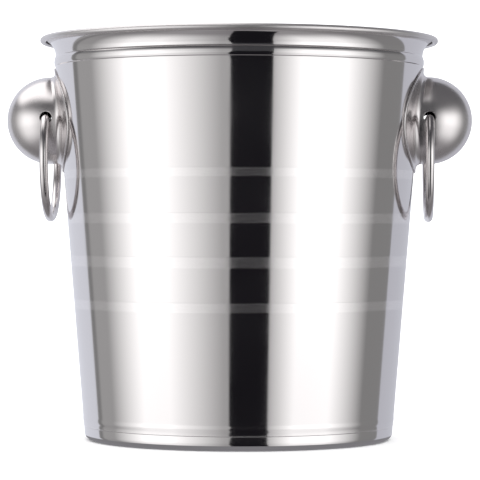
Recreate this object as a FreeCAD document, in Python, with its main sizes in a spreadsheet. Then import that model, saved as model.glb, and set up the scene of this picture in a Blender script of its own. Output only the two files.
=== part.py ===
"""Champagne bucket with two ball ears and swinging ring handles, stainless steel.

Frame: +Z up, origin at the centre of the base on the table, the two ears on +X and -X.
Sizes are millimetres and degrees. Every driving size is a cell of the sheet "Sizes", and
each piece is bound to those cells by expressions.
"""
import FreeCAD, Part
import os
import Sketcher
from FreeCAD import Placement, Rotation, Vector

doc = FreeCAD.newDocument("champagne_bucket")

# ---------------------------------------------------------------- driving sizes
DRIVING_SIZES = [
    ("bucket_height", 211.3, "table to the top of the rolled rim"),
    ("rim_radius", 105.0, "outermost reach of the rolled rim"),
    ("sheet_gauge", 0.8, "wall and base sheet thickness"),
    ("curl_radius", 1.6, "outside radius of the rolled rim"),
    ("curl_sweep", 240.0, "how far the sheet is rolled past the top, degrees"),
    ("cove_radius", 9.6, "outside radius of the flare under the rim"),
    ("flare_reach", 6.5, "neck to the middle of the curl, outwards"),
    ("neck_drop", 10.0, "rim top to the upper crease of the neck bead"),
    ("neck_bead_height", 5.4, "neck bead, crease to crease"),
    ("neck_bead_rise", 0.7, "neck bead crown beyond its creases"),
    ("foot_radius", 81.6, "wall outside radius at its lower edge"),
    ("seam_height", 7.3, "table to the lower edge of the wall"),
    ("foot_bead_lift", 3.5, "wall edge to the middle of the foot bead"),
    ("foot_bead_height", 3.0, "height of the foot bead"),
    ("foot_bead_rise", 0.15, "foot bead crown beyond the wall"),
    ("seam_step", 0.15, "base pan set in from the wall's edge"),
    ("band_draft", 0.2, "base pan draws in towards the table"),
    ("foot_corner", 3.8, "outside corner radius of the base pan"),
    ("base_recess", 1.0, "how far the middle of the base is pushed up"),
    ("stand_ring_width", 6.0, "flat ring that the bucket stands on"),
    ("recess_run", 3.0, "width of the slope up to the pushed-up middle"),
    ("lap_height", 8.0, "how far the base pan laps up inside the wall"),
    ("seam_gap", 0.05, "gap between lapped sheets"),
    ("flange_drop", 0.2, "neck bead's lower crease to the top of each ear's flange"),
    ("ear_radius", 23.0, "outside radius of each ear's ball"),
    ("ear_standoff", 3.5, "ball centre outboard of the wall beside the top of the ball"),
    ("ear_gauge", 0.8, "ear sheet thickness"),
    ("ear_fillet", 2.5, "radius between the ball and its flange"),
    ("flange_lip", 4.7, "flange above and below the ball"),
    ("flange_wing", 16.2, "flange to either side of the ball"),
    ("hole_rise", 0.7, "ring holes above the ball centre"),
    ("hole_play", 0.85, "ring hole's radius beyond the wire's"),
    ("hang_gap", 0.15, "gap left under the wire where it hangs in its hole"),
    ("ring_radius", 31.7, "ring handle, to the middle of the wire"),
    ("wire_radius", 2.25, "ring handle wire"),
    ("bend_radius", 3.0, "turned-in ends of the ring, to the middle of the wire"),
    ("bend_clearance", 0.4, "ball to the start of the ring's bend"),
    ("pin_length", 5.0, "turned-in wire inside the ball's sheet"),
    ("weld_radius", 2.0, "spot weld nugget"),
    ("weld_depth", 0.4, "nugget depth into each sheet"),
    ("weld_margin", 9.0, "spot welds to either side of the ball's edge"),
    ("weld_lift", 8.0, "spot welds above and below the ball centre"),
]

sizes = doc.addObject("Spreadsheet::Sheet", "Sizes")
for row, (alias, value, meaning) in enumerate(DRIVING_SIZES, start=1):
    sizes.set(f"A{row}", meaning)
    sizes.set(f"B{row}", str(value))
    sizes.setAlias(f"B{row}", alias)
doc.recompute()


def size(alias):
    """The expression that reads one driving size."""
    return f"Sizes.{alias}"


def number(expression):
    """The present value of an expression, as a plain number."""
    value = sizes.evalExpression(str(expression))
    return float(getattr(value, "Value", value))


def bind(item, **expressions):
    """Binds properties of an object to expressions; a double underscore stands for a dot."""
    for path, expression in expressions.items():
        item.setExpression(path.replace("__", "."), str(expression))
    return item


# ---------------------------------------------------------------- derived places
# The wall is a cone from its lower edge at the seam to the lower crease of the neck bead.
# Everything that lies on the wall asks wall_radius for its place.
GAUGE = size("sheet_gauge")
CURL_R = f"({size('rim_radius')} - {size('curl_radius')})"
CURL_Z = f"({size('bucket_height')} - {size('curl_radius')})"
NECK_R = f"({CURL_R} - {size('flare_reach')})"
COVE_R = f"({NECK_R} + {size('cove_radius')})"
# The flare rises straight off the neck and runs on into the curl without a corner, so the
# centres of the two arcs stand this far apart, and this much of it upwards.
CENTRE_SPAN = f"({size('cove_radius')} - {size('curl_radius')} + {GAUGE})"
COVE_Z = f"({CURL_Z} - sqrt(pow({CENTRE_SPAN}; 2) - pow({COVE_R} - {CURL_R}; 2)))"
LEAN = f"(asin(({COVE_R} - {CURL_R}) / {CENTRE_SPAN}) / 1 deg)"
UPPER_CREASE_Z = f"({size('bucket_height')} - {size('neck_drop')})"
LOWER_CREASE_Z = f"({UPPER_CREASE_Z} - {size('neck_bead_height')})"
NECK_BEAD_Z = f"({UPPER_CREASE_Z} - {size('neck_bead_height')} / 2)"
SEAM_Z = size("seam_height")
FOOT_BEAD_Z = f"({SEAM_Z} + {size('foot_bead_lift')})"
FOOT_BEAD_LOW_Z = f"({FOOT_BEAD_Z} - {size('foot_bead_height')} / 2)"
FOOT_BEAD_HIGH_Z = f"({FOOT_BEAD_Z} + {size('foot_bead_height')} / 2)"
LAP_Z = f"({SEAM_Z} + {size('lap_height')})"
TAPER = f"(({NECK_R} - {size('foot_radius')}) / ({LOWER_CREASE_Z} - {SEAM_Z}))"
LAP = f"({GAUGE} + {size('seam_gap')})"


def wall_radius(height, inset="0"):
    """Radius at a height, on the wall's outside cone or set in from it."""
    return f"({size('foot_radius')} + ({height} - {SEAM_Z}) * {TAPER} - {inset})"


def on_circle(centre_r, centre_z, radius, turn):
    """Corner on a circle, at a turn clockwise from its top."""
    return f"({centre_r} + {radius} * sin({turn}))", f"({centre_z} + {radius} * cos({turn}))"


# ---------------------------------------------------------------- turned pieces
def origin_feature(body, role):
    """One of a body's own origin planes or axes."""
    for feature in body.Origin.OriginFeatures:
        if feature.Role == role:
            return feature
    raise RuntimeError(f"{body.Label} has no {role}")


def new_sketch(body, name, plane):
    """An empty sketch on one of a body's own origin planes."""
    sketch = body.newObject("Sketcher::SketchObject", f"{body.Name}_{name}")
    sketch.AttachmentSupport = [(origin_feature(body, plane), "")]
    sketch.MapMode = "FlatFace"
    return sketch


def place_point(sketch, index, end, radius, height):
    """Binds a point of a sketch to its radius and height, or puts it on an axis at zero."""
    for kind, expression, axis in (("DistanceX", radius, -2), ("DistanceY", height, -1)):
        present = number(expression)
        if present == 0:
            sketch.addConstraint(Sketcher.Constraint("PointOnObject", index, end, axis))
        else:
            tied = sketch.addConstraint(Sketcher.Constraint(kind, -1, 1, index, end, present))
            sketch.setExpression(f"Constraints[{tied}]", str(expression))


def draw_outline(sketch, outline, closed=True):
    """Draws an outline. Each step is (radius, height), the corner it starts from, with a
    third item for an arc: the point that it passes through on its way. An outline that is
    not closed ends at its last step."""
    corners = [Vector(number(step[0]), number(step[1]), 0) for step in outline]
    last_corner = None if closed else outline[-1]
    outline = outline if closed else outline[:-1]
    first_ends = []
    for index, step in enumerate(outline):
        start = corners[index]
        end = corners[(index + 1) % len(corners)]
        if len(step) == 2:
            sketch.addGeometry(Part.LineSegment(start, end), False)
        else:
            way = Vector(number(step[2][0]), number(step[2][1]), 0)
            sketch.addGeometry(Part.Arc(start, way, end), False)
        forward = sketch.getPoint(index, 1).isEqual(start, 1e-6)
        first_ends.append(1 if forward else 2)
    for index, step in enumerate(outline):
        following = (index + 1) % len(outline)
        if following or closed:
            sketch.addConstraint(Sketcher.Constraint(
                "Coincident", index, 3 - first_ends[index], following, first_ends[following]))
        place_point(sketch, index, first_ends[index], step[0], step[1])
        if len(step) == 3:
            way = Vector(number(step[2][0]), number(step[2][1]), 0)
            mark = sketch.addGeometry(Part.Point(way), True)
            place_point(sketch, mark, 1, step[2][0], step[2][1])
            sketch.addConstraint(Sketcher.Constraint("PointOnObject", mark, 1, index))
    if last_corner:
        place_point(sketch, len(outline) - 1, 3 - first_ends[-1], *last_corner)


def turned_piece(label, outline):
    """A PartDesign body whose closed outline is turned a full turn about Z."""
    body = doc.addObject("PartDesign::Body", label)
    body.Label = label
    sketch = new_sketch(body, "profile", "XZ_Plane")
    draw_outline(sketch, outline)
    turn = body.newObject("PartDesign::Revolution", f"{label}_turned")
    turn.Profile = sketch
    turn.ReferenceAxis = (sketch, ["V_Axis"])
    turn.Angle = 360.0
    body.Tip = turn
    return body


def foot_bead(inset):
    """The foot bead's two corners and crown, from below, set in from the wall's outside."""
    crown = f"({wall_radius(FOOT_BEAD_Z, inset)} + {size('foot_bead_rise')})"
    low = (wall_radius(FOOT_BEAD_LOW_Z, inset), FOOT_BEAD_LOW_Z)
    high = (wall_radius(FOOT_BEAD_HIGH_Z, inset), FOOT_BEAD_HIGH_Z)
    return low, (crown, FOOT_BEAD_Z), high


def neck_bead(inset):
    """The neck bead's two creases and crown, from below, set in from the outside."""
    crease_r = f"({NECK_R} - {inset})"
    crown = (f"({crease_r} + {size('neck_bead_rise')})", NECK_BEAD_Z)
    return (crease_r, LOWER_CREASE_Z), crown, (crease_r, UPPER_CREASE_Z)


def cove(radius):
    """The flare's corner at the neck and the point half way round, at a radius about the
    cove's centre."""
    return (on_circle(COVE_R, COVE_Z, radius, "-90"),
            on_circle(COVE_R, COVE_Z, radius, f"-(90 + {LEAN}) / 2"))


def curl(radius):
    """The rolled rim's start where the flare runs into it, its half-way point and its end,
    at a radius about the curl's centre."""
    sweep = size("curl_sweep")
    return (on_circle(CURL_R, CURL_Z, radius, f"-{LEAN}"),
            on_circle(CURL_R, CURL_Z, radius, f"({sweep} - {LEAN}) / 2"),
            on_circle(CURL_R, CURL_Z, radius, sweep))


def body_shell():
    """The tapered wall with its foot bead, neck bead, flare and rolled rim, in one sheet."""
    low, crown, high = foot_bead("0")
    inner_low, inner_crown, inner_high = foot_bead(GAUGE)
    crease, neck_crown, upper_crease = neck_bead("0")
    inner_crease, inner_neck_crown, inner_upper_crease = neck_bead(GAUGE)
    cove_foot, cove_way = cove(size("cove_radius"))
    inner_cove_foot, inner_cove_way = cove(f"({size('cove_radius')} + {GAUGE})")
    curl_start, curl_way, curl_end = curl(f"({size('curl_radius')} - {GAUGE})")
    outer_curl_start, outer_curl_way, outer_curl_end = curl(size("curl_radius"))
    return turned_piece("body_shell", [
        (size("foot_radius"), SEAM_Z),
        (*low, crown),
        high,
        (*crease, neck_crown),
        upper_crease,
        (*cove_foot, cove_way),
        (*curl_start, curl_way),
        curl_end,
        (*outer_curl_end, outer_curl_way),
        (*outer_curl_start, inner_cove_way),
        inner_cove_foot,
        (*inner_upper_crease, inner_neck_crown),
        inner_crease,
        (*inner_high, inner_crown),
        inner_low,
        (f"({size('foot_radius')} - {GAUGE})", SEAM_Z),
    ])


def base_pan():
    """The pressed base: a pushed-up middle, the ring it stands on, the foot band, and a lap
    that steps in under the wall's edge and is beaded together with the wall."""
    band_top_r = f"({size('foot_radius')} - {size('seam_step')})"
    band_foot_r = f"({band_top_r} - {size('band_draft')})"
    corner = size("foot_corner")
    corner_r = f"({band_foot_r} - {corner})"
    stand_r = f"({corner_r} - {size('stand_ring_width')})"
    recess_r = f"({stand_r} - {size('recess_run')})"
    step_z = f"({SEAM_Z} - {GAUGE})"
    inner_lap = f"({LAP} + {GAUGE})"
    low, crown, high = foot_bead(LAP)
    inner_low, inner_crown, inner_high = foot_bead(inner_lap)
    corner_way = on_circle(corner_r, corner, corner, "135")
    inner_corner_way = on_circle(corner_r, corner, f"({corner} - {GAUGE})", "135")
    return turned_piece("base_pan", [
        ("0", size("base_recess")),
        (recess_r, size("base_recess")),
        (stand_r, "0"),
        (corner_r, "0", corner_way),
        (band_foot_r, corner),
        (band_top_r, SEAM_Z),
        (wall_radius(SEAM_Z, LAP), SEAM_Z),
        (*low, crown),
        high,
        (wall_radius(LAP_Z, LAP), LAP_Z),
        (wall_radius(LAP_Z, inner_lap), LAP_Z),
        (*inner_high, inner_crown),
        inner_low,
        (wall_radius(SEAM_Z, inner_lap), step_z),
        (f"({band_top_r} - {GAUGE})", step_z),
        (f"({band_foot_r} - {GAUGE})", corner, inner_corner_way),
        (corner_r, GAUGE),
        (stand_r, GAUGE),
        (recess_r, f"({size('base_recess')} + {GAUGE})"),
        ("0", f"({size('base_recess')} + {GAUGE})"),
    ])


# ---------------------------------------------------------------- ears
BALL_R = size("ear_radius")
INNER_BALL_R = f"({BALL_R} - {size('ear_gauge')})"
FLANGE_HALF_HEIGHT = f"({BALL_R} + {size('flange_lip')})"
FLANGE_HALF_WIDTH = f"({BALL_R} + {size('flange_wing')})"
EAR_Z = f"({LOWER_CREASE_Z} - {size('flange_drop')} - {FLANGE_HALF_HEIGHT})"
EAR_X = f"({wall_radius(f'({EAR_Z} + {BALL_R})')} + {size('ear_standoff')})"
CONE_SPAN = f"({FLANGE_HALF_HEIGHT} + {BALL_R})"
HOLE_Z = f"({EAR_Z} + {size('hole_rise')})"
# A half turn about Z carries a piece made on the +X side over to the -X side.
SIDES = {"right": Rotation(), "left": Rotation(Vector(0, 0, 1), 180)}
SIDE_SIGNS = {"right": 1, "left": -1}


def helper(kind, name, **expressions):
    """A construction solid of an ear, bound to its expressions."""
    return bind(doc.addObject(kind, name), **expressions)


def along_x(item):
    """Lays an object's own Z along +X."""
    item.Placement = Placement(Vector(), Rotation(Vector(0, 1, 0), 90))
    return item


def wall_cone(name, offset):
    """A solid cone that stands off the wall's outside by an offset, about an ear."""
    low = f"({EAR_Z} - {CONE_SPAN})"
    high = f"({EAR_Z} + {CONE_SPAN})"
    return helper("Part::Cone", name,
                  Radius1=wall_radius(low, f"(0 - {offset})"),
                  Radius2=wall_radius(high, f"(0 - {offset})"),
                  Height=f"2 * {CONE_SPAN}",
                  Placement__Base__z=low)


def ball_and_skirt(name, radius):
    """A ball with a straight round skirt that runs back from it into the bucket."""
    ball = helper("Part::Sphere", f"{name}_ball", Radius=radius,
                  Placement__Base__x=EAR_X, Placement__Base__z=EAR_Z)
    skirt = along_x(doc.addObject("Part::Cylinder", f"{name}_skirt"))
    bind(skirt, Radius=radius, Height=BALL_R,
         Placement__Base__x=f"{EAR_X} - {BALL_R}", Placement__Base__z=EAR_Z)
    joined = doc.addObject("Part::MultiFuse", name)
    joined.Shapes = [ball, skirt]
    joined.Refine = True
    return joined


def boolean(kind, name, base, tool):
    """A Part::Cut or Part::Common of two objects."""
    item = doc.addObject(kind, name)
    item.Base = base
    item.Tool = tool
    return item


def ball_root_edges(solid):
    """Numbers of the edges where the skirt runs into the flange's outer face."""
    found = []
    for index, edge in enumerate(solid.Shape.Edges, start=1):
        span = edge.ParameterRange
        points = [edge.valueAt(span[0] + (span[1] - span[0]) * part / 8) for part in range(9)]
        reach = [abs((p - Vector(p.x, 0, number(EAR_Z))).Length - number(BALL_R)) for p in points]
        inboard = max(p.x for p in points) < number(EAR_X) - number("Sizes.ear_gauge")
        offset = number(f"{size('seam_gap')} + {size('ear_gauge')}")
        on_face = [abs(Vector(p.x, p.y, 0).Length - number(wall_radius(p.z)) - offset) for p in points]
        if max(reach) < 0.01 and inboard and max(on_face) < 0.01:
            found.append(index)
    if not found:
        raise RuntimeError("the ball's root has no edge to round")
    return found


def ear_shell(side):
    """One ear, pressed from a single sheet: a hollow ball, its skirt, and an oval flange that
    lies round the wall. Two holes take the ring handle's ends."""
    name = f"{side}_ear"
    gap = size("seam_gap")
    wall_side = wall_cone(f"{name}_wall_side", gap)
    face_side = wall_cone(f"{name}_face_side", f"({gap} + {size('ear_gauge')})")
    sheet = boolean("Part::Cut", f"{name}_sheet", face_side, wall_side)
    oval = along_x(doc.addObject("Part::Ellipse", f"{name}_oval"))
    oval.Placement = Placement(Vector(), Rotation(Vector(0, 1, 0), Vector(0, 0, 1), Vector(1, 0, 0)))
    bind(oval, MajorRadius=FLANGE_HALF_WIDTH, MinorRadius=FLANGE_HALF_HEIGHT,
         Placement__Base__z=EAR_Z)
    punch = doc.addObject("Part::Extrusion", f"{name}_punch")
    punch.Base = oval
    punch.DirMode = "Custom"
    punch.Dir = Vector(1, 0, 0)
    punch.Solid = True
    bind(punch, LengthFwd=f"{EAR_X} + {BALL_R}")
    flange = boolean("Part::Common", f"{name}_flange", sheet, punch)
    outside = ball_and_skirt(f"{name}_outside", BALL_R)
    boss = boolean("Part::Cut", f"{name}_boss", outside, wall_cone(f"{name}_trim", gap))
    joined = doc.addObject("Part::MultiFuse", f"{name}_joined")
    joined.Shapes = [boss, flange]
    doc.recompute()
    rounded = doc.addObject("Part::Fillet", f"{name}_rounded")
    rounded.Base = joined
    radius = number(size("ear_fillet"))
    rounded.Edges = [(edge, radius, radius) for edge in ball_root_edges(joined)]
    hollow = boolean("Part::Cut", f"{name}_hollow", rounded,
                     ball_and_skirt(f"{name}_inside", INNER_BALL_R))
    drill = doc.addObject("Part::Cylinder", f"{name}_drill")
    drill.Placement = Placement(Vector(), Rotation(Vector(1, 0, 0), 90))
    bind(drill, Radius=f"{size('wire_radius')} + {size('hole_play')}", Height=f"2 * {FLANGE_HALF_WIDTH}",
         Placement__Base__x=EAR_X, Placement__Base__y=FLANGE_HALF_WIDTH,
         Placement__Base__z=HOLE_Z)
    ear = boolean("Part::Cut", f"{name}_shell", hollow, drill)
    ear.Label = f"{side}_ear_shell"
    ear.Placement = Placement(Vector(), SIDES[side])
    return ear


# ---------------------------------------------------------------- ring handles
# Each ring lies in a plane through the middle of its ball. Its ends turn in along one line,
# the swing axis, and hang in the ear's two holes.
PIN_Z = f"({HOLE_Z} - {size('hole_play')} + {size('hang_gap')})"
PIN_END_Y = f"({INNER_BALL_R} - {size('pin_length')})"
BEND_Y = f"({BALL_R} + {size('bend_clearance')})"
BEND_ARM = f"({size('ring_radius')} - {size('bend_radius')})"
BEND_TURN = f"asin({BEND_Y} / {BEND_ARM})"
BEND_Z = f"({PIN_Z} - {size('bend_radius')})"
RING_Z = f"({BEND_Z} - {BEND_ARM} * cos({BEND_TURN}))"


def mirrored(corner):
    """The corner on the other side of the ring's middle line."""
    return f"(0 - {corner[0]})", corner[1]


def ring(side):
    """One ring handle: round wire bent to an open ring with its ends turned in, sprung into
    the ear's two holes. The pipe's path runs from one end, round the ring, to the other."""
    label = f"{side}_ring"
    body = doc.addObject("PartDesign::Body", label)
    body.Label = label
    pin_end = (PIN_END_Y, PIN_Z)
    bend_start = (BEND_Y, PIN_Z)
    bend_way = on_circle(BEND_Y, BEND_Z, size("bend_radius"), f"{BEND_TURN} / 2")
    bend_end = on_circle("0", RING_Z, size("ring_radius"), BEND_TURN)
    lowest = ("0", f"({RING_Z} - {size('ring_radius')})")
    path = new_sketch(body, "path", "YZ_Plane")
    draw_outline(path, [
        mirrored(pin_end),
        (*mirrored(bend_start), mirrored(bend_way)),
        (*mirrored(bend_end), lowest),
        (*bend_end, bend_way),
        bend_start,
        pin_end,
    ], closed=False)
    section = new_sketch(body, "section", "XZ_Plane")
    section.setExpression("AttachmentOffset.Base.z", PIN_END_Y)
    wire_radius = number(size("wire_radius"))
    wire = section.addGeometry(
        Part.Circle(Vector(0, number(PIN_Z), 0), Vector(0, 0, 1), wire_radius), False)
    place_point(section, wire, 3, "0", PIN_Z)
    tied = section.addConstraint(Sketcher.Constraint("Radius", wire, wire_radius))
    section.setExpression(f"Constraints[{tied}]", size("wire_radius"))
    bent = body.newObject("PartDesign::AdditivePipe", f"{label}_bent")
    bent.Profile = section
    bent.Spine = (path, [])
    body.Tip = bent
    body.Placement = Placement(Vector(), SIDES[side])
    bind(body, Placement__Base__x=f"{SIDE_SIGNS[side]} * {EAR_X}")
    return body


# ---------------------------------------------------------------- spot welds
def spot_welds(side):
    """The nuggets that fuse one ear's flange to the wall, two on each wing."""
    nuggets = []
    across = f"({BALL_R} + {size('weld_margin')})"
    for wing in (-1, 1):
        for level in (-1, 1):
            height = f"({EAR_Z} + {level} * {size('weld_lift')})"
            root = wall_radius(height, size("weld_depth"))
            lean = f"asin({wing} * {across} / {wall_radius(height)})"
            nugget = doc.addObject("Part::Cylinder", f"{side}_nugget")
            nugget.Placement = Placement(Vector(), Rotation(Vector(0, 1, 0), 90))
            bind(nugget, Radius=size("weld_radius"),
                 Height=f"2 * {size('weld_depth')} + {size('seam_gap')}",
                 Placement__Rotation__Axis__x=f"0 - sin({lean})",
                 Placement__Rotation__Axis__y=f"cos({lean})",
                 Placement__Base__x=f"{root} * cos({lean})",
                 Placement__Base__y=f"{root} * sin({lean})",
                 Placement__Base__z=height)
            nuggets.append(nugget)
    group = doc.addObject("Part::Compound", f"{side}_ear_spot_welds")
    group.Links = nuggets
    group.Label = f"{side}_ear_spot_welds"
    group.Placement = Placement(Vector(), SIDES[side])
    return group


# ---------------------------------------------------------------- build, check and write
def build():
    """Makes every piece and returns them in assembly order."""
    pieces = [body_shell(), base_pan()]
    for side in SIDES:
        pieces.append(ear_shell(side))
        pieces.append(spot_welds(side))
        pieces.append(ring(side))
    doc.recompute()
    return pieces


def check(pieces):
    """Stops the build if an object failed, or a piece's shape is missing or unsound."""
    for item in doc.Objects:
        if "Invalid" in item.State or "Error" in item.State:
            raise RuntimeError(f"{item.Label} failed: {item.State}")
    for piece in pieces:
        if piece.Shape.isNull() or not piece.Shape.isValid() or not piece.Shape.Solids:
            raise RuntimeError(f"{piece.Label} has no sound shape")


PIECES = build()
check(PIECES)
os.makedirs("parts", exist_ok=True)
for made in PIECES:
    made.Shape.exportStep(f"parts/{made.Label}.step")
    box = made.Shape.BoundBox
    print(f"{made.Label}: {len(made.Shape.Solids)} solid(s), {made.Shape.Volume:.0f} mm3, "
          f"x {box.XMin:.2f}..{box.XMax:.2f}, y {box.YMin:.2f}..{box.YMax:.2f}, "
          f"z {box.ZMin:.2f}..{box.ZMax:.2f}")
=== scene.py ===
"""Looks of a champagne bucket: polished and satin stainless steel on a pale studio floor.

The file follows the object as it is put together: the wall and its rolled rim, the base pan,
the two ears, their spot welds, the ring handles, and then the studio round it.
"""

import math

import bpy
import numpy as np
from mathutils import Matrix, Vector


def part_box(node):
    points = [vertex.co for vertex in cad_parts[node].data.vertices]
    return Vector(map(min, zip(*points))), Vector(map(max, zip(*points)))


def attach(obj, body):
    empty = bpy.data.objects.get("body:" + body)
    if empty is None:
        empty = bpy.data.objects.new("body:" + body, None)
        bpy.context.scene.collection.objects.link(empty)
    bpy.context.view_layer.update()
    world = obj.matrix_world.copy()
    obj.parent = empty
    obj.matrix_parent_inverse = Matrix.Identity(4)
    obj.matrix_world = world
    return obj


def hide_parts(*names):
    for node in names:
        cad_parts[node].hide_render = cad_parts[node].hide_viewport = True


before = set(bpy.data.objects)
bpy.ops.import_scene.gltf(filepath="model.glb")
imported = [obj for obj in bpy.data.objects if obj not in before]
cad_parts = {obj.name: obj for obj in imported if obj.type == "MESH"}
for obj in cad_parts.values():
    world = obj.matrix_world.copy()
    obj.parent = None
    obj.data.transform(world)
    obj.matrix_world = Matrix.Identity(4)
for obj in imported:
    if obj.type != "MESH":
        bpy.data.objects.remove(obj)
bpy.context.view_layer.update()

# ------------------------------------------------------------------------------------------
# Body shell: the tapered wall, drawn from one sheet of 18/10 stainless steel. It has a small
# bead at the foot, a crowned bead at the neck, a flare, and an open rolled rim. Four satin
# bands are turned into the polished wall.
# ------------------------------------------------------------------------------------------
MM = 0.001
FULL_TURN = 2 * math.pi

shell_low, shell_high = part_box("body_shell")
BUCKET_HEIGHT = shell_high.z / MM
SEAM_HEIGHT = shell_low.z / MM
RIM_RADIUS = 105.0
SHEET_GAUGE = 0.8
CURL_RADIUS = 1.6
CURL_SWEEP = math.radians(240)
COVE_RADIUS = 9.6
FLARE_REACH = 6.5
NECK_DROP = 10.0
NECK_RADIUS = RIM_RADIUS - CURL_RADIUS - FLARE_REACH
NECK_BEAD_TOP = BUCKET_HEIGHT - NECK_DROP
NECK_BEAD_HEIGHT = 5.4
NECK_BEAD_RISE = 0.7
NECK_BEAD_LIP = 0.22
LIP_RUN = 0.35
WALL_TOP = NECK_BEAD_TOP - NECK_BEAD_HEIGHT
FOOT_RADIUS = 81.6
FOOT_BEAD_MIDDLE = SEAM_HEIGHT + 3.5
FOOT_BEAD_HEIGHT = 3.0
FOOT_BEAD_RISE = 0.15
CREASE_SOFTNESS = 0.04
EDGE_ROUND = 0.2

# Heights of the lower and upper edges of the satin bands, from the top band down.
SATIN_BANDS = [(136.8, 141.2), (113.6, 118.6), (91.2, 96.7), (69.1, 73.8)]
BAND_DEPTH = 0.02
BAND_EDGE = 0.25
BAND_SCATTER = 0.03

# The base pan laps up inside the wall this far, and the crimping wheel that locks the two
# leaves a fine matt line along the seam.
LAP_HEIGHT = SEAM_HEIGHT + 8.0
CRIMP_LINE = (SEAM_HEIGHT - 0.3, SEAM_HEIGHT + 0.5)
CRIMP_SCATTER = 0.055


def wall_radius(height):
    """Outside radius of the wall's plain cone: a straight line from the foot to the neck."""
    taper = (NECK_RADIUS - FOOT_RADIUS) / (WALL_TOP - SEAM_HEIGHT)
    return FOOT_RADIUS + (np.minimum(height, WALL_TOP) - SEAM_HEIGHT) * taper


def soft_crown(height, middle, span, rise):
    """A crowned bead: a parabola of the given rise over its span, and nothing beyond it.
    The positive part is (b + sqrt(b^2 + s^2)) / 2, which rounds the two creases a little."""
    bead = rise * (1 - (2 * (height - middle) / span) ** 2)
    return (bead + np.sqrt(bead ** 2 + CREASE_SOFTNESS ** 2)) / 2


def band_mask(height, low, high):
    """1 inside a band and 0 outside it, with a smooth step of BAND_EDGE at each edge."""
    rise = np.clip((height - low) / BAND_EDGE + 0.5, 0, 1)
    fall = np.clip((high - height) / BAND_EDGE + 0.5, 0, 1)
    step = np.minimum(rise, fall)
    return step * step * (3 - 2 * step)


def shell_radius(height):
    """Outside radius of the wall: the cone, plus both beads, less the turned bands. The lip is
    a smooth step up from the wall, times a straight fade to nothing at the crown."""
    radius = wall_radius(height)
    bead_middle = NECK_BEAD_TOP - NECK_BEAD_HEIGHT / 2
    radius = radius + soft_crown(height, bead_middle, NECK_BEAD_HEIGHT, NECK_BEAD_RISE)
    # The bead's lower edge stands a lip proud of the wall, which fades out towards its crown.
    step = np.clip((height - WALL_TOP) / LIP_RUN, 0, 1)
    fade = np.clip((bead_middle - height) / (bead_middle - WALL_TOP - LIP_RUN), 0, 1)
    radius = radius + NECK_BEAD_LIP * step * step * (3 - 2 * step) * fade
    radius = radius + soft_crown(height, FOOT_BEAD_MIDDLE, FOOT_BEAD_HEIGHT, FOOT_BEAD_RISE)
    for low, high in SATIN_BANDS:
        radius = radius - BAND_DEPTH * band_mask(height, low, high)
    return radius


def shell_heights(bead_rows, band_rows):
    """Heights of the wall's rows: close together at each bead, band edge and crease. The two
    counts are the rows across the neck bead and across each band's edge."""
    foot_top = FOOT_BEAD_MIDDLE + FOOT_BEAD_HEIGHT
    rows = [np.linspace(SEAM_HEIGHT + EDGE_ROUND, foot_top, bead_rows // 2)]
    for low, high in SATIN_BANDS:
        rows.append(np.linspace(low - BAND_EDGE, low + BAND_EDGE, band_rows))
        rows.append(np.linspace(high - BAND_EDGE, high + BAND_EDGE, band_rows))
    rows.append(np.linspace(foot_top + 5, WALL_TOP - 2, 12))
    rows.append(np.linspace(WALL_TOP - 0.1, WALL_TOP + LIP_RUN, bead_rows // 4))
    rows.append(np.linspace(WALL_TOP + 0.5, NECK_BEAD_TOP, bead_rows))
    return np.unique(np.round(np.concatenate(rows), 4))


def arc(centre, radius, start, end, count):
    """Points round an arc in the (radius, height) plane, by angle from the outward way."""
    angle = np.linspace(start, end, count)
    return np.stack([centre[0] + radius * np.cos(angle), centre[1] + radius * np.sin(angle)], 1)


def shell_profile():
    """The sheet's closed section: up the outside of the wall, round the flare and the curl,
    and back down the inside, one gauge in from the outside all the way. The flare's and the
    curl's arcs meet on the line through their centres, so the sheet has no corner there."""
    heights = shell_heights(36, 5)
    outside = np.stack([shell_radius(heights), heights], 1)
    heights = shell_heights(18, 2)
    inside = np.stack([shell_radius(heights) - SHEET_GAUGE, heights], 1)
    quarter, half = math.pi / 2, math.pi
    curl_centre = (RIM_RADIUS - CURL_RADIUS, BUCKET_HEIGHT - CURL_RADIUS)
    span = COVE_RADIUS - CURL_RADIUS + SHEET_GAUGE
    lean = math.asin((NECK_RADIUS + COVE_RADIUS - curl_centre[0]) / span)
    cove_centre = (NECK_RADIUS + COVE_RADIUS, curl_centre[1] - span * math.cos(lean))
    join, curl_end = quarter + lean, quarter - CURL_SWEEP
    cove_out = arc(cove_centre, COVE_RADIUS, half, join, 20)
    cove_in = arc(cove_centre, COVE_RADIUS + SHEET_GAUGE, join, half, 14)
    curl_in = arc(curl_centre, CURL_RADIUS - SHEET_GAUGE, join, curl_end, 18)
    curl_out = arc(curl_centre, CURL_RADIUS, curl_end, join, 34)
    foot_out = arc((outside[0, 0] - EDGE_ROUND, SEAM_HEIGHT + EDGE_ROUND), EDGE_ROUND,
                   -quarter, 0, 6)
    foot_in = arc((inside[0, 0] + EDGE_ROUND, SEAM_HEIGHT + EDGE_ROUND), EDGE_ROUND,
                  half, 3 * quarter, 6)
    return np.concatenate([foot_out[:-1], outside, cove_out, curl_in[1:], curl_out,
                           cove_in[1:], inside[::-1], foot_in[1:]])


def turned(profile, turns):
    """Grid of points from turning a (radius, height) profile about Z: the point of row i and
    column j is (r_i sin a_j, -r_i cos a_j, z_i), with a_j running round a full turn."""
    angle = np.arange(turns) * FULL_TURN / turns
    radius, height = profile[:, :1], profile[:, 1:]
    return np.stack([radius * np.sin(angle), -radius * np.cos(angle),
                     height + 0 * angle], 2)


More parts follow.
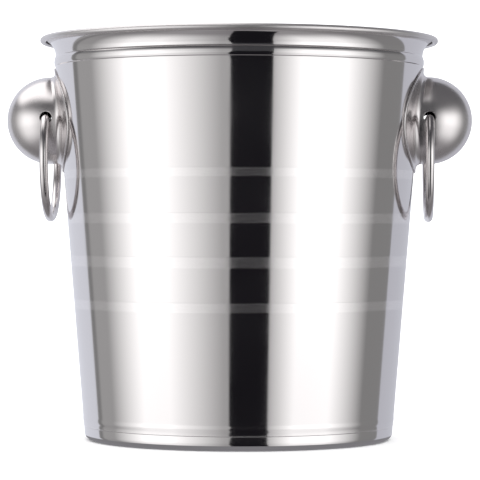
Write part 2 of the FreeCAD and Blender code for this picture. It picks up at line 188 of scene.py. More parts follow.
def grid_faces(rows, columns, close_rows=False, first=0):
    """Quads of a grid of points, numbered along its rows. Columns always wrap round; the
    last row is joined to the first where close_rows is set."""
    row = np.arange(rows if close_rows else rows - 1)[:, None]
    column = np.arange(columns)[None, :]
    above, beside = (row + 1) % rows, (column + 1) % columns
    corners = [row * columns + column, row * columns + beside,
               above * columns + beside, above * columns + column]
    return np.stack(corners, 2).reshape(-1, 4) + first


def mesh_piece(name, points, faces, material):
    """A smooth-shaded mesh object from points in millimetres and lists of faces."""
    mesh = bpy.data.meshes.new(name)
    mesh.from_pydata((np.asarray(points).reshape(-1, 3) * MM).tolist(), [], faces)
    mesh.validate()
    mesh.polygons.foreach_set("use_smooth", [True] * len(mesh.polygons))
    mesh.materials.append(material)
    piece = bpy.data.objects.new(name, mesh)
    bpy.context.scene.collection.objects.link(piece)
    return piece


def fit_piece(piece, node, body):
    """Puts a finished piece in the place of its CAD node, on that node's body."""
    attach(piece, body)
    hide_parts(node)


def linear(colour):
    """An sRGB hex colour as linear red, green, blue and an alpha of 1."""
    parts = [int(colour[start:start + 2], 16) / 255 for start in (1, 3, 5)]
    return [p / 12.92 if p <= 0.04045 else ((p + 0.055) / 1.055) ** 2.4 for p in parts] + [1]


def add(tree, kind, settings=None, **inputs):
    """Adds a node. settings are its own properties; inputs are values or sockets to link,
    by socket name or by number, as in_0."""
    node = tree.nodes.new(kind)
    for key, value in (settings or {}).items():
        setattr(node, key, value)
    for key, value in inputs.items():
        wanted = int(key[3:]) if key.startswith("in_") else key.replace("_", " ")
        if isinstance(value, bpy.types.NodeSocket):
            tree.links.new(value, node.inputs[wanted])
        else:
            node.inputs[wanted].default_value = value
    return node


def metal(name, colour, roughness):
    """A bare metal material and its shader node; metals keep the shader's own IOR."""
    material = bpy.data.materials.new(name)
    material.use_nodes = True
    shader = material.node_tree.nodes["Principled BSDF"]
    shader.inputs["Base Color"].default_value = linear(colour)
    shader.inputs["Metallic"].default_value = 1.0
    shader.inputs["Roughness"].default_value = roughness
    return material, shader


POLISHED_STEEL = "#DBD8D8"
TURNED_STEEL = "#E1DEDE"


def polished_sheet():
    """Polished 18/10 stainless steel sheet: a bright, slightly soft mirror with faint marks
    of the polishing wheel round the wall. Four bands are turned to a satin, whose fine lines
    scatter a little white light over the mirror, and the rolled rim is left as it was rolled,
    a softer grey. The scatter is a small non-metallic share of the surface."""
    material, shader = metal("polished_stainless_sheet", POLISHED_STEEL, 0.07)
    tree = material.node_tree
    place = add(tree, "ShaderNodeTexCoord").outputs["Object"]
    height = add(tree, "ShaderNodeSeparateXYZ", Vector=place).outputs["Z"]
    satin = 0.0
    for low, high in SATIN_BANDS + [CRIMP_LINE]:
        middle, half = (low + high) / 2 * MM, (high - low) / 2 * MM
        inside = add(tree, "ShaderNodeMath", {"operation": "COMPARE"},
                     in_0=height, in_1=middle, in_2=half).outputs[0]
        share = 1.0 if low > LAP_HEIGHT else CRIMP_SCATTER / BAND_SCATTER
        satin = add(tree, "ShaderNodeMath", {"operation": "MULTIPLY_ADD"},
                    in_0=inside, in_1=share, in_2=satin).outputs[0]
    # Only the outer face of the sheet is turned: past the middle of its gauge from the axis.
    flat = add(tree, "ShaderNodeVectorMath", {"operation": "MULTIPLY"}, in_0=place,
               in_1=(1, 1, 0)).outputs[0]
    reach = add(tree, "ShaderNodeVectorMath", {"operation": "LENGTH"}, in_0=flat).outputs["Value"]
    taper = wall_radius(WALL_TOP) - wall_radius(SEAM_HEIGHT)
    taper = float(taper / (WALL_TOP - SEAM_HEIGHT))
    middle = add(tree, "ShaderNodeMath", {"operation": "MULTIPLY_ADD"}, in_0=height, in_1=taper,
                 in_2=(FOOT_RADIUS - SEAM_HEIGHT * taper - SHEET_GAUGE / 2) * MM).outputs[0]
    outer = add(tree, "ShaderNodeMath", {"operation": "GREATER_THAN"},
                in_0=reach, in_1=middle).outputs[0]
    satin = add(tree, "ShaderNodeMath", {"operation": "MULTIPLY"},
                in_0=satin, in_1=outer).outputs[0]
    lines = add(tree, "ShaderNodeMapping", {"vector_type": "POINT"},
                Vector=place, Scale=(12, 12, 2200)).outputs[0]
    wheel = add(tree, "ShaderNodeTexNoise", Vector=lines, Scale=1.0, Detail=3.0).outputs["Fac"]
    wear = add(tree, "ShaderNodeTexNoise", Vector=place, Scale=25.0, Detail=4.0).outputs["Fac"]
    rough = add(tree, "ShaderNodeMapRange", Value=wear, From_Min=0.3, From_Max=0.7,
                To_Min=0.06, To_Max=0.10).outputs[0]
    rough = add(tree, "ShaderNodeMix", {"clamp_factor": True},
                Factor=satin, A=rough, B=0.12).outputs[0]
    rolled = add(tree, "ShaderNodeMath", {"operation": "GREATER_THAN"}, in_0=height,
                 in_1=(BUCKET_HEIGHT - 2 * CURL_RADIUS) * MM).outputs[0]
    rough = add(tree, "ShaderNodeMix", Factor=rolled, A=rough, B=0.36).outputs[0]
    tree.links.new(rough, shader.inputs["Roughness"])
    mirror = add(tree, "ShaderNodeMath", {"operation": "MULTIPLY_ADD"}, in_0=satin,
                 in_1=-BAND_SCATTER, in_2=1.0).outputs[0]
    tree.links.new(mirror, shader.inputs["Metallic"])
    # The turned metal is bare and fresh, a touch lighter than the polished wall.
    tint = add(tree, "ShaderNodeMix", {"data_type": "RGBA", "clamp_factor": True}, Factor=satin,
               in_6=linear(POLISHED_STEEL), in_7=linear(TURNED_STEEL)).outputs[2]
    tree.links.new(tint, shader.inputs["Base Color"])
    bump = add(tree, "ShaderNodeBump", Strength=0.03, Distance=0.0001, Height=wheel).outputs[0]
    tree.links.new(bump, shader.inputs["Normal"])
    return material


SHELL_TURNS = 360
polished = polished_sheet()
profile = shell_profile()
wall = mesh_piece("body_shell_steel", turned(profile, SHELL_TURNS),
                  grid_faces(len(profile), SHELL_TURNS, close_rows=True).tolist(), polished)
fit_piece(wall, "body_shell", "bucket")

# ------------------------------------------------------------------------------------------
# Base pan: pressed from the same sheet. Its middle is pushed up so that it stands on a ring,
# and its edge steps in and laps up inside the wall, where the foot bead locks the two.
# ------------------------------------------------------------------------------------------
BAND_INSET = 0.15
BAND_DRAFT = 0.2
BAND_TOP_RADIUS = FOOT_RADIUS - BAND_INSET
BAND_FOOT_RADIUS = BAND_TOP_RADIUS - BAND_DRAFT
FOOT_CORNER = 3.8
BASE_RECESS = 1.0
STAND_RING_WIDTH = 6.0
RECESS_RUN = 3.0
SEAM_GAP = 0.05


def eased(start, end, count):
    """A line between two points of the profile with its ends eased level: the height follows
    a smooth step of the way along."""
    way = np.linspace(0, 1, count)
    step = way * way * (3 - 2 * way)
    return np.stack([start[0] + (end[0] - start[0]) * way,
                     start[1] + (end[1] - start[1]) * step], 1)


def pan_profile():
    """The pan's section, from the middle of its underside, round its edge and lap, back to
    the middle of its upper face."""
    half, quarter = math.pi, math.pi / 2
    corner_radius = BAND_FOOT_RADIUS - FOOT_CORNER
    stand_radius = corner_radius - STAND_RING_WIDTH
    recess_radius = stand_radius - RECESS_RUN
    heights = np.linspace(SEAM_HEIGHT + 0.3, LAP_HEIGHT - EDGE_ROUND, 40)
    lap = shell_radius(heights) - SHEET_GAUGE - SEAM_GAP
    lap_out = np.stack([lap, heights], 1)
    lap_in = lap_out - (SHEET_GAUGE, 0)
    step_z = SEAM_HEIGHT - 0.02
    corner = arc((corner_radius, FOOT_CORNER), FOOT_CORNER, -quarter, 0, 16)
    inner_corner = arc((corner_radius, FOOT_CORNER), FOOT_CORNER - SHEET_GAUGE, 0, -quarter, 12)
    shoulder = arc((BAND_TOP_RADIUS - EDGE_ROUND, step_z - EDGE_ROUND), EDGE_ROUND,
                   0, quarter, 6)
    top = arc((lap_out[-1, 0] - SHEET_GAUGE / 2, LAP_HEIGHT - SHEET_GAUGE / 2),
              SHEET_GAUGE / 2, 0, half, 8)
    under = eased((recess_radius, BASE_RECESS), (stand_radius, 0), 9)
    over = eased((stand_radius, SHEET_GAUGE), (recess_radius, BASE_RECESS + SHEET_GAUGE), 9)
    inner_step = [(lap_in[0, 0], SEAM_HEIGHT - SHEET_GAUGE + 0.3),
                  (BAND_TOP_RADIUS - SHEET_GAUGE, SEAM_HEIGHT - SHEET_GAUGE - 0.3)]
    middle_rows = np.linspace(0, recess_radius, 9)[1:-1, None] * (1, 0)
    return np.concatenate([[(0, BASE_RECESS)], middle_rows + (0, BASE_RECESS), under, corner,
                           shoulder, [(lap_out[0, 0], step_z)], lap_out, top, lap_in[::-1],
                           inner_step, inner_corner, over,
                           middle_rows[::-1] + (0, BASE_RECESS + SHEET_GAUGE),
                           [(0, BASE_RECESS + SHEET_GAUGE)]])


def capped_faces(rows, columns):
    """Faces of a turned grid whose first and last rows are single points on the axis: the
    quads between the other rows, and a fan of triangles at each end. Points are numbered
    with the first pole at 0 and the last pole after the grid."""
    faces = grid_faces(rows, columns, first=1).tolist()
    last = 1 + rows * columns
    for column in range(columns):
        beside = (column + 1) % columns
        faces.append([0, 1 + beside, 1 + column])
        faces.append([last, last - columns + column, last - columns + beside])
    return faces


def capped_points(profile, turns):
    """Points of a turned profile whose two ends lie on the axis, one point for each pole."""
    grid = turned(profile[1:-1], turns).reshape(-1, 3)
    return np.concatenate([[(0, 0, profile[0, 1])], grid, [(0, 0, profile[-1, 1])]])


PAN_TURNS = 360
profile = pan_profile()
pan = mesh_piece("base_pan_steel", capped_points(profile, PAN_TURNS),
                 capped_faces(len(profile) - 2, PAN_TURNS), polished)
fit_piece(pan, "base_pan", "bucket")

# ------------------------------------------------------------------------------------------
# Ears: each is pressed from one sheet into a hollow ball on a short skirt, with an oval
# flange that lies round the wall. The pressing is tumbled to a satin, and two holes in the
# ball take the ring's ends.
# ------------------------------------------------------------------------------------------
EAR_GAUGE = 0.8
EAR_X = 100.0
EAR_Z = 168.0
BALL_RADIUS = 23.0
FLANGE_HALF_WIDTH = 39.2
FLANGE_HALF_HEIGHT = 27.7
EAR_FILLET = 2.5
HOLE_LIFT = 0.7
HOLE_RADIUS = 3.1
HOLE_EDGE = 0.2
EAR_TURNS = 240
FLANGE_ROWS, FILLET_ROWS, SKIRT_ROWS, BALL_ROWS = 10, 12, 9, 46


def on_wall(y, z, offset):
    """X of the point at (y, z) on the cone that stands off the wall by an offset."""
    return np.sqrt((wall_radius(z) + offset) ** 2 - y ** 2)


def ear_side(ball_radius, fillet, offset, edge_inset):
    """One face of the ear's sheet as a grid, each row a loop round the ear's own axis: the
    flange from its oval edge to the fillet, the fillet as a conic between the flange and the
    skirt, the skirt, and the ball up to just short of its pole."""
    turn = np.arange(EAR_TURNS) * FULL_TURN / EAR_TURNS
    across, up = np.cos(turn), np.sin(turn)
    root = ball_radius + fillet
    share = np.linspace(0, 1, FLANGE_ROWS)[:, None]
    y = (1 - share) * (FLANGE_HALF_WIDTH - edge_inset) * across + share * root * across
    z = EAR_Z + (1 - share) * (FLANGE_HALF_HEIGHT - edge_inset) * up + share * root * up
    rows = [np.stack([on_wall(y, z, offset), y, z], 2)]
    start = rows[0][-1]
    knee = np.stack([on_wall(ball_radius * across, EAR_Z + ball_radius * up, offset),
                     ball_radius * across, EAR_Z + ball_radius * up], 1)
    reach = np.linalg.norm(knee - start, axis=1)
    end = knee + np.stack([reach, 0 * reach, 0 * reach], 1)
    way = np.linspace(0, 1, FILLET_ROWS + 1)[1:, None, None]
    pull = math.sqrt(0.5) * 2 * way * (1 - way)
    weight = (1 - way) ** 2 + pull + way ** 2
    rows.append(((1 - way) ** 2 * start + pull * knee + way ** 2 * end) / weight)
    share = np.linspace(0, 1, SKIRT_ROWS + 1)[1:, None, None]
    rim = end * (0, 1, 1) + (EAR_X, 0, 0)
    rows.append((1 - share) * end + share * rim)
    lift = (np.linspace(0, 1, BALL_ROWS + 1)[1:-1] * math.pi / 2)[:, None]
    rows.append(np.stack([EAR_X + ball_radius * np.sin(lift) + 0 * turn,
                          ball_radius * np.cos(lift) * across,
                          EAR_Z + ball_radius * np.cos(lift) * up], 2))
    return np.concatenate(rows)


def beside_ear_axis(x, z, ball_radius):
    """Y of the point at (x, z) on the ball, or on the skirt where x is inboard of it."""
    outboard = np.maximum(x - EAR_X, 0)
    return np.sqrt(ball_radius ** 2 - (z - EAR_Z) ** 2 - outboard ** 2)


# A hole's window in the grid: first and last rows, and columns to either side of the axis.
WINDOW_ROWS = (FLANGE_ROWS + FILLET_ROWS + 1, FLANGE_ROWS + FILLET_ROWS + SKIRT_ROWS + 5)
WINDOW_COLUMNS = (-9, 11)


def window_loop(side):
    """Grid indexes round the window on the near (-1) or far (+1) side, in order."""
    low, high = WINDOW_ROWS
    left, right = WINDOW_COLUMNS
    if side < 0:
        left, right = EAR_TURNS // 2 - right, EAR_TURNS // 2 - left
    columns, rows = np.arange(left, right), np.arange(low, high)
    row = np.concatenate([0 * columns + low, rows, 0 * columns + high, rows[::-1] + 1])
    column = np.concatenate([columns, 0 * rows + right, columns[::-1] + 1, 0 * rows + left])
    return row * EAR_TURNS + column % EAR_TURNS


def window_faces():
    """Quads of one face of the sheet, less those in the two windows."""
    rows = FLANGE_ROWS + FILLET_ROWS + SKIRT_ROWS + BALL_ROWS - 1
    quads = grid_faces(rows, EAR_TURNS)
    row, column = quads[:, 0] // EAR_TURNS, quads[:, 0] % EAR_TURNS
    low, high = WINDOW_ROWS
    left, right = WINDOW_COLUMNS
    far = (column < right) | (column >= EAR_TURNS + left)
    near = (column >= EAR_TURNS // 2 - right) & (column < EAR_TURNS // 2 - left)
    return quads[~((row >= low) & (row < high) & (far | near))]


def hole_rings(loop, side, outer_face, inner_face):
    """Rings of points that close one window: across the outer face from the window to the
    hole, over its rounded edge, through the sheet, and back across the inner face. Each
    keeps the direction of the window's points from the hole's centre."""
    centre = np.array([EAR_X, EAR_Z + HOLE_LIFT])
    rings = []
    for face, ball_radius, inward in ((outer_face, BALL_RADIUS, 1),
                                      (inner_face, BALL_RADIUS - EAR_GAUGE, -1)):
        edge = face[loop][:, [0, 2]]
        away = edge - centre
        length = np.linalg.norm(away, axis=1, keepdims=True)
        lip = centre + away / length * (HOLE_RADIUS + HOLE_EDGE)
        across = [edge + (lip - edge) * share for share in np.linspace(0, 1, 7)[1:]]
        set_in = [centre + away / length * (HOLE_RADIUS + 0.3 * HOLE_EDGE),
                  centre + away / length * HOLE_RADIUS]
        depths = [0] * len(across) + [0.3 * HOLE_EDGE, HOLE_EDGE]
        made = []
        for flat, depth in zip(across + set_in, depths):
            y = side * (beside_ear_axis(flat[:, 0], flat[:, 1], ball_radius) - inward * depth)
            made.append(np.stack([flat[:, 0], y, flat[:, 1]], 1))
        rings.append(made)
    return rings[0] + rings[1][::-1]


def ring_quads(first_loop, second_loop):
    """Quads between two loops of point numbers that run the same way round."""
    return np.stack([first_loop, np.roll(first_loop, -1), np.roll(second_loop, -1),
                     second_loop], 1)


def ear_mesh():
    """Points and faces of the right ear: the outer and inner faces of its sheet, joined round
    the flange's edge and through the two holes, with a pole on each ball."""
    outer = ear_side(BALL_RADIUS, EAR_FILLET, SEAM_GAP + EAR_GAUGE, EDGE_ROUND).reshape(-1, 3)
    inner = ear_side(BALL_RADIUS - EAR_GAUGE, EAR_FILLET + EAR_GAUGE, SEAM_GAP, 0).reshape(-1, 3)
    turn = np.arange(EAR_TURNS) * FULL_TURN / EAR_TURNS
    y = FLANGE_HALF_WIDTH * np.cos(turn)
    z = EAR_Z + FLANGE_HALF_HEIGHT * np.sin(turn)
    edge = np.stack([on_wall(y, z, SEAM_GAP + EAR_GAUGE - EDGE_ROUND), y, z], 1)
    count = len(outer)
    points = [outer, inner, edge,
              [(EAR_X + BALL_RADIUS, 0, EAR_Z), (EAR_X + BALL_RADIUS - EAR_GAUGE, 0, EAR_Z)]]
    quads = [window_faces(), window_faces()[:, ::-1] + count]
    loop = np.arange(EAR_TURNS)
    edge_loop = loop + 2 * count
    quads += [ring_quads(edge_loop, loop), ring_quads(loop + count, edge_loop)]
    pole = 2 * count + EAR_TURNS
    last = loop + count - EAR_TURNS
    fans = [[[a, b, pole] for a, b in zip(last, np.roll(last, -1))],
            [[b + count, a + count, pole + 1] for a, b in zip(last, np.roll(last, -1))]]
    following = pole + 2
    for side in (-1, 1):
        window = window_loop(side)
        rings = hole_rings(window, side, outer, inner)
        size = len(window)
        loops = [window] + [following + size * k + np.arange(size) for k in range(len(rings))]
        loops.append(window + count)
        quads += [ring_quads(a, b) for a, b in zip(loops, loops[1:])]
        points += rings
        following += size * len(rings)
    return np.concatenate(points), np.concatenate(quads).tolist() + fans[0] + fans[1]


def satin_pressing():
    """Satin stainless steel: a tumbled pressing whose fine random grain blurs reflections
    into soft pools of light."""
    material, shader = metal("satin_stainless_pressing", "#DAD6D6", 0.26)
    tree = material.node_tree
    place = add(tree, "ShaderNodeTexCoord").outputs["Object"]
    grain = add(tree, "ShaderNodeTexNoise", Vector=place, Scale=1800.0, Detail=3.0).outputs["Fac"]
    cloud = add(tree, "ShaderNodeTexNoise", Vector=place, Scale=90.0, Detail=4.0).outputs["Fac"]
    rough = add(tree, "ShaderNodeMapRange", Value=cloud, From_Min=0.3, From_Max=0.7,
                To_Min=0.22, To_Max=0.28).outputs[0]
    tree.links.new(rough, shader.inputs["Roughness"])
    bump = add(tree, "ShaderNodeBump", Strength=0.05, Distance=0.0001, Height=grain).outputs[0]
    tree.links.new(bump, shader.inputs["Normal"])
    return material


def half_turned(points):
    """The points carried half a turn about Z, which takes the right ear to the left."""
    return points * (-1, -1, 1)


def mend_faces(piece):
    """Turns every face of a closed piece outwards."""
    bpy.ops.object.select_all(action="DESELECT")
    bpy.context.view_layer.objects.active = piece
    piece.select_set(True)
    bpy.ops.object.mode_set(mode="EDIT")
    bpy.ops.mesh.select_all(action="SELECT")
    bpy.ops.mesh.normals_make_consistent(inside=False)
    bpy.ops.object.mode_set(mode="OBJECT")
    piece.select_set(False)


satin = satin_pressing()
ear_points, ear_faces = ear_mesh()
for side, points in (("right", ear_points), ("left", half_turned(ear_points))):
    ear = mesh_piece(f"{side}_ear_steel", points, ear_faces, satin)
    mend_faces(ear)
    fit_piece(ear, f"{side}_ear_shell", "bucket")

# ------------------------------------------------------------------------------------------
# Spot welds: the nuggets that fuse each flange to the wall. They are shut between the two
# sheets, so the CAD's own discs stay, with the grey of steel that has been melted.
# ------------------------------------------------------------------------------------------
weld, weld_shader = metal("fused_weld_steel", "#8C8884", 0.5)
heat = add(weld.node_tree, "ShaderNodeTexNoise", Scale=1200.0, Detail=2.0,
           Vector=add(weld.node_tree, "ShaderNodeTexCoord").outputs["Object"]).outputs["Fac"]
weld.node_tree.links.new(heat, weld_shader.inputs["Roughness"])
for side in ("right", "left"):
    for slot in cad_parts[f"{side}_ear_spot_welds"].material_slots:
        slot.material = weld

# ------------------------------------------------------------------------------------------
# Ring handles: round stainless wire bent to an open ring. The ends turn in along one line
# and hang in the ear's two holes, so each ring swings about that line.
# ------------------------------------------------------------------------------------------
WIRE_RADIUS = 2.25
RING_RADIUS = 31.7
BEND_RADIUS = 3.0
PIN_GAP = 0.15
PIN_LENGTH_INSIDE = 5.0
BEND_CLEARANCE = 0.4
PIN_HEIGHT = EAR_Z + HOLE_LIFT - (HOLE_RADIUS - WIRE_RADIUS) + PIN_GAP
PIN_END = BALL_RADIUS - EAR_GAUGE - PIN_LENGTH_INSIDE
BEND_START = BALL_RADIUS + BEND_CLEARANCE
WIRE_SIDES = 32


def ring_path():
    """Half of the wire's centre line, from its lowest point to its end, and the way it runs:
    round the ring, round the bend, and straight in. Rows are (y, z) and the unit way."""
    arm = RING_RADIUS - BEND_RADIUS
    bend_turn = math.asin(BEND_START / arm)
    bend_centre = np.array([BEND_START, PIN_HEIGHT - BEND_RADIUS])
    ring_centre = bend_centre - arm * np.array([math.sin(bend_turn), math.cos(bend_turn)])
    parts = []
    for centre, radius, start, count in ((ring_centre, RING_RADIUS, math.pi, 120),
                                         (bend_centre, BEND_RADIUS, bend_turn, 16)):
        end = bend_turn if start == math.pi else 0.0
        turn = np.linspace(start, end, count)
        spot = centre + radius * np.stack([np.sin(turn), np.cos(turn)], 1)
        parts.append(np.concatenate([spot, np.stack([-np.cos(turn), np.sin(turn)], 1)], 1))
    straight = np.linspace(BEND_START, PIN_END, 8)[1:, None]
    parts.append(np.concatenate([straight, 0 * straight + PIN_HEIGHT,
                                 0 * straight - 1, 0 * straight], 1))
    return np.concatenate([parts[0], parts[1][1:], parts[2]])


def ring_mesh():
    """Points and faces of the right ring: a round section carried along the wire's path, with
    its ends rounded off by shrinking the last rows as a quarter circle."""
    half = ring_path()
    mirrored = half[:0:-1] * (-1, 1, 1, -1)
    path = np.concatenate([mirrored, half])
    shrink = np.ones(len(path))
    round_off = np.linspace(0, 1, 7)[1:-1] * math.pi / 2
    dome = 0.6 * np.sin(round_off)
    taper = 1 - 0.35 * (1 - np.cos(round_off))
    tail = np.repeat(path[-1:], len(dome), 0)
    tail[:, :2] += tail[:, 2:] * dome[:, None]
    head = np.repeat(path[:1], len(dome), 0)
    head[:, :2] -= head[:, 2:] * dome[:, None]
    path = np.concatenate([head[::-1], path, tail])
    shrink = np.concatenate([taper[::-1], shrink, taper])
    turn = np.arange(WIRE_SIDES) * FULL_TURN / WIRE_SIDES
    out = np.stack([0 * path[:, 0], -path[:, 3], path[:, 2]], 1)
    spot = np.stack([0 * path[:, 0] + EAR_X, path[:, 0], path[:, 1]], 1)
    radius = (WIRE_RADIUS * shrink)[:, None, None]
    grid = (spot[:, None] + radius * (np.cos(turn)[None, :, None] * out[:, None]
                                      + np.sin(turn)[None, :, None] * np.array([1.0, 0, 0])))
    points = np.concatenate([spot[:1], grid.reshape(-1, 3), spot[-1:]])
    return points, capped_faces(len(path), WIRE_SIDES)


def drawn_wire():
    """Drawn and polished stainless wire: a bright mirror with faint draw marks."""
    material, shader = metal("polished_stainless_wire", "#DAD6D6", 0.12)
    tree = material.node_tree
    place = add(tree, "ShaderNodeTexCoord").outputs["Object"]
    marks = add(tree, "ShaderNodeTexNoise", Vector=place, Scale=300.0, Detail=4.0).outputs["Fac"]
    rough = add(tree, "ShaderNodeMapRange", Value=marks, From_Min=0.3, From_Max=0.7,
                To_Min=0.08, To_Max=0.15).outputs[0]
    tree.links.new(rough, shader.inputs["Roughness"])
    return material


wire = drawn_wire()
ring_points, ring_faces = ring_mesh()
for side, points in (("right", ring_points), ("left", half_turned(ring_points))):
    ring = mesh_piece(f"{side}_ring_wire", points, ring_faces, wire)
    mend_faces(ring)
    fit_piece(ring, f"{side}_ring", f"{side}_ring_handle")

# ------------------------------------------------------------------------------------------
# Studio: a pale floor under a pale surround. Two tall soft boxes stand to the left and right
# of the camera with a dark flag between them, and the room beyond them is grey. The steel
# mirrors these, and everything else is lit by an even white.
# ------------------------------------------------------------------------------------------
CAMERA_AZIMUTH = math.radians(2.5)
CAMERA_DISTANCE = 1.326
CAMERA_HEIGHT = 0.110
CAMERA_ROLL = math.radians(-0.1)
CAMERA_LENS = 187.9
SENSOR_WIDTH = 36.0
CAMERA_SHIFT = (0.0025, -0.0202)

camera_data = bpy.data.cameras.new("camera")
camera_data.lens = CAMERA_LENS
camera_data.sensor_width = SENSOR_WIDTH
camera_data.shift_x, camera_data.shift_y = CAMERA_SHIFT
camera = bpy.data.objects.new("camera", camera_data)
camera.location = (CAMERA_DISTANCE * math.sin(CAMERA_AZIMUTH),
                   -CAMERA_DISTANCE * math.cos(CAMERA_AZIMUTH), CAMERA_HEIGHT)
camera.rotation_euler = (math.pi / 2, CAMERA_ROLL, CAMERA_AZIMUTH)
bpy.context.scene.collection.objects.link(camera)
bpy.context.scene.camera = camera
bpy.context.scene.view_settings.view_transform = "Standard"

floor_material = bpy.data.materials.new("pale_floor")
floor_material.use_nodes = True
floor_shader = floor_material.node_tree.nodes["Principled BSDF"]
floor_shader.inputs["Base Color"].default_value = linear("#FCFCFD")
floor_shader.inputs["Roughness"].default_value = 0.9
floor_shader.inputs["Specular IOR Level"].default_value = 0.1
FLOOR_HALF = 8000.0
FLOOR_DROP = 0.2
floor_corners = [(-FLOOR_HALF, -FLOOR_HALF, -FLOOR_DROP), (FLOOR_HALF, -FLOOR_HALF, -FLOOR_DROP),
                 (FLOOR_HALF, FLOOR_HALF, -FLOOR_DROP), (-FLOOR_HALF, FLOOR_HALF, -FLOOR_DROP)]
floor = mesh_piece("floor", floor_corners, [[0, 1, 2, 3]], floor_material)
floor.visible_glossy = False

# The flag: a black card on the camera's side, which the steel shows as its dark stripe, with
# a grey card above it. Its left edge leans a little, and both widen away from the middle, so
# that the curved flare shows them as straight. Corners are (x, z) at FLAG_Y, in millimetres.
FLAG_Y = -1000.0
FLAG_CORNERS = [(-70, -3500), (1100, -3500), (620, -1500), (480, -700), (420, -215), (410, 230),
                (-28, 230), (-57, -36), (-72, -205), (-62, -500), (-62, -1500)]
HOOD_CORNERS = [(-28, 230), (410, 230), (440, 700), (530, 1300), (-36, 1300), (-30, 700)]


def card(name, corners, colour):
    """A flat card that only the steel's reflections see. It gives off, as a plain colour, the
    light that it would scatter."""
    material = bpy.data.materials.new(f"{name}_card")
    material.use_nodes = True
    shader = material.node_tree.nodes["Principled BSDF"]
    shader.inputs["Base Color"].default_value = (0, 0, 0, 1)
    shader.inputs["Emission Color"].default_value = linear(colour)
    shader.inputs["Emission Strength"].default_value = 1.0
    shader.inputs["Specular IOR Level"].default_value = 0.0
    piece = mesh_piece(name, corners, [list(range(len(corners)))], material)
    piece.visible_camera = False
    piece.visible_diffuse = False
    piece.visible_shadow = False


card("flag", [(x, FLAG_Y, z) for x, z in FLAG_CORNERS], "#1A191D")
card("hood", [(x, FLAG_Y, z) for x, z in HOOD_CORNERS], "#444447")

# The patch of floor that the foot's corner shows, with the bucket's own shade on it as painted
# shade: a card that glows a dull grey and is seen only in the steel. The floor itself stays out of
# the steel's reflections, and this stands for the part near it.
PATCH_RADIUS = 84.0
PATCH_SIDES = 96
patch_turn = np.arange(PATCH_SIDES) * FULL_TURN / PATCH_SIDES
patch = np.stack([PATCH_RADIUS * np.cos(patch_turn), PATCH_RADIUS * np.sin(patch_turn),
                  0 * patch_turn - FLOOR_DROP / 2], 1)
card("shaded_floor", patch.tolist(), "#8C8C90")


# The soft boxes. Each is given by the bearings where its light starts, is full, begins to fade
# and ends, in degrees from the camera's side to the right (+) and left (-). The room is grey
# to either side of them and between them, and a narrow dark gap stands at its left end.
LEFT_BOX = (-102, -70, -48, -8)
RIGHT_BOX = (21, 43, 71, 104)
BOX_LIGHT = 1.6
LEFT_WALL, RIGHT_WALL, MIDDLE = 0.42, 0.28, 0.5
GAP, GAP_LIGHT = (-122, -119), 0.25
GAP_EDGE = 2.5
LEVEL_LIGHT = [(GAP[0] - GAP_EDGE, LEFT_WALL), (GAP[0], GAP_LIGHT), (GAP[1], GAP_LIGHT),
               (GAP[1] + GAP_EDGE, LEFT_WALL), (LEFT_BOX[0], LEFT_WALL), (LEFT_BOX[1], BOX_LIGHT),
               (LEFT_BOX[2], BOX_LIGHT), (LEFT_BOX[3], MIDDLE), (RIGHT_BOX[0], MIDDLE),
               (RIGHT_BOX[1], BOX_LIGHT), (RIGHT_BOX[2], BOX_LIGHT), (RIGHT_BOX[3], RIGHT_WALL)]

# How all of them fall off above and below the horizon, by elevation in degrees.
SIDE_FALL = [(-90, 0.05), (-56, 0.10), (-46, 0.32), (-38, 0.55), (-28, 0.74), (-15, 0.78),
             (-12.5, 0.86), (-9, 0.98), (2, 1.0), (10, 0.90), (19, 0.42), (28, 0.10),
             (36, 0.0), (90, 0.0)]


def ramp(tree, value, stops, low, high, full):
    """A colour ramp through (place, brightness) stops, for a value that runs from low to
    high. Brightness is given as a share of full."""
    share = add(tree, "ShaderNodeMapRange", Value=value, From_Min=low, From_Max=high).outputs[0]
    node = add(tree, "ShaderNodeValToRGB", in_0=share)
    elements = node.color_ramp.elements
    while len(elements) < len(stops):
        elements.new(0.5)
    for element, (place, brightness) in zip(elements, stops):
        element.position = (place - low) / (high - low)
        element.color = [brightness / full] * 3 + [1]
    return node.outputs[0]


def blend_colours(tree, share, first, second):
    """A mix of two colours or colour sockets."""
    return add(tree, "ShaderNodeMix", {"data_type": "RGBA"}, in_0=share, in_6=first,
               in_7=second).outputs[2]


FULL_LIGHT = 2.0
EVEN_WHITE = [0.85, 0.85, 0.85, 1]
ROOM_DIM = [0.046, 0.045, 0.049, 1]
FLOOR_BOUNCE = [0.125, 0.12, 0.125, 1]
OVERHEAD_LIGHT = [0.8, 0.79, 0.79, 1]
OVERHEAD_LEAN = (0.51, 1.35, 1.0)
OVERHEAD_EDGE = (-0.38, 0.30)
OVERHEAD_RISE = (22.0, 34.0)
BACKDROP_RIGHT = [0.307, 0.312, 0.344, 1]
BACKDROP_LEFT = [0.395, 0.404, 0.442, 1]
BACKDROP_EDGE = (0.57, 0.59)
BACKDROP_FOOT = (-50.0, -36.0)


def gate(tree, value, limits, kind="SMOOTHSTEP"):
    """0 where a value is before the first limit and 1 past the second, eased between them."""
    return add(tree, "ShaderNodeMapRange", {"interpolation_type": kind}, Value=value,
               From_Min=limits[0], From_Max=limits[1]).outputs[0]


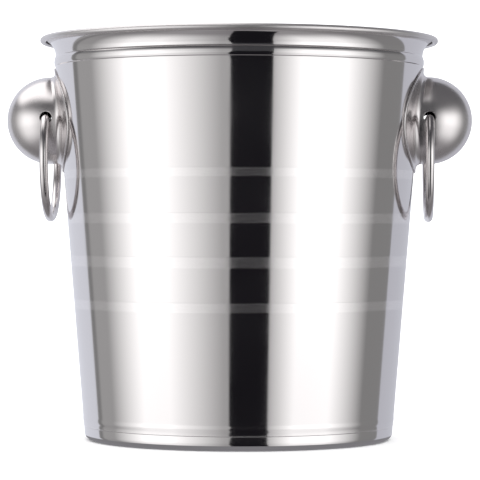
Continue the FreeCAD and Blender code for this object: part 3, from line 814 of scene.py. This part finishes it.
def surround():
    """The world as the steel sees it: two soft boxes with a fall-off up and down, a lit
    backdrop behind, a soft light overhead on the left, and a dim room between them. Rays
    that don't come from the steel see plain white."""
    world = bpy.data.worlds.new("studio")
    bpy.context.scene.world = world
    world.use_nodes = True
    tree = world.node_tree
    way = add(tree, "ShaderNodeTexCoord").outputs["Generated"]
    part = add(tree, "ShaderNodeSeparateXYZ", Vector=way).outputs
    ahead = add(tree, "ShaderNodeMath", {"operation": "MULTIPLY"},
                in_0=part[1], in_1=-1.0).outputs[0]
    bearing = add(tree, "ShaderNodeMath", {"operation": "ARCTAN2"},
                  in_0=part[0], in_1=ahead).outputs[0]
    bearing = add(tree, "ShaderNodeMath", {"operation": "DEGREES"}, in_0=bearing).outputs[0]
    rise = add(tree, "ShaderNodeMath", {"operation": "ARCSINE"}, in_0=part[2]).outputs[0]
    rise = add(tree, "ShaderNodeMath", {"operation": "DEGREES"}, in_0=rise).outputs[0]
    level = ramp(tree, bearing, LEVEL_LIGHT, -180, 180, FULL_LIGHT)
    fall = ramp(tree, rise, SIDE_FALL, -90, 90, 1.0)
    below = gate(tree, rise, (5.0, -5.0), "LINEAR")
    room = blend_colours(tree, below, ROOM_DIM, FLOOR_BOUNCE)
    sides = blend_colours(tree, fall, room, level)
    # The overhead light: on the left of the camera's line, and behind a slanting front edge.
    edge = add(tree, "ShaderNodeVectorMath", {"operation": "DOT_PRODUCT"}, in_0=way,
               in_1=OVERHEAD_LEAN).outputs["Value"]
    high = gate(tree, edge, OVERHEAD_EDGE)
    left = gate(tree, part[0], (0.10, -0.05))
    over = add(tree, "ShaderNodeMath", {"operation": "MULTIPLY"}, in_0=high, in_1=left).outputs[0]
    raised = gate(tree, rise, OVERHEAD_RISE)
    over = add(tree, "ShaderNodeMath", {"operation": "MULTIPLY"},
               in_0=over, in_1=raised).outputs[0]
    lit = blend_colours(tree, over, sides, OVERHEAD_LIGHT)
    # The backdrop: every way that leads back past the object, cooler than the soft boxes.
    behind = add(tree, "ShaderNodeVectorMath", {"operation": "DOT_PRODUCT"}, in_0=way,
                 in_1=(-0.03, 1.0, 0.0)).outputs["Value"]
    back = gate(tree, behind, BACKDROP_EDGE)
    above = gate(tree, rise, BACKDROP_FOOT, "LINEAR")
    back = add(tree, "ShaderNodeMath", {"operation": "MULTIPLY"}, in_0=back, in_1=above).outputs[0]
    drop = blend_colours(tree, left, BACKDROP_RIGHT, BACKDROP_LEFT)
    lit = blend_colours(tree, back, lit, drop)
    steel = add(tree, "ShaderNodeLightPath").outputs["Is Glossy Ray"]
    colour = blend_colours(tree, steel, EVEN_WHITE, lit)
    background = tree.nodes["Background"]
    tree.links.new(colour, background.inputs["Color"])
    background.inputs["Strength"].default_value = FULL_LIGHT


surround()
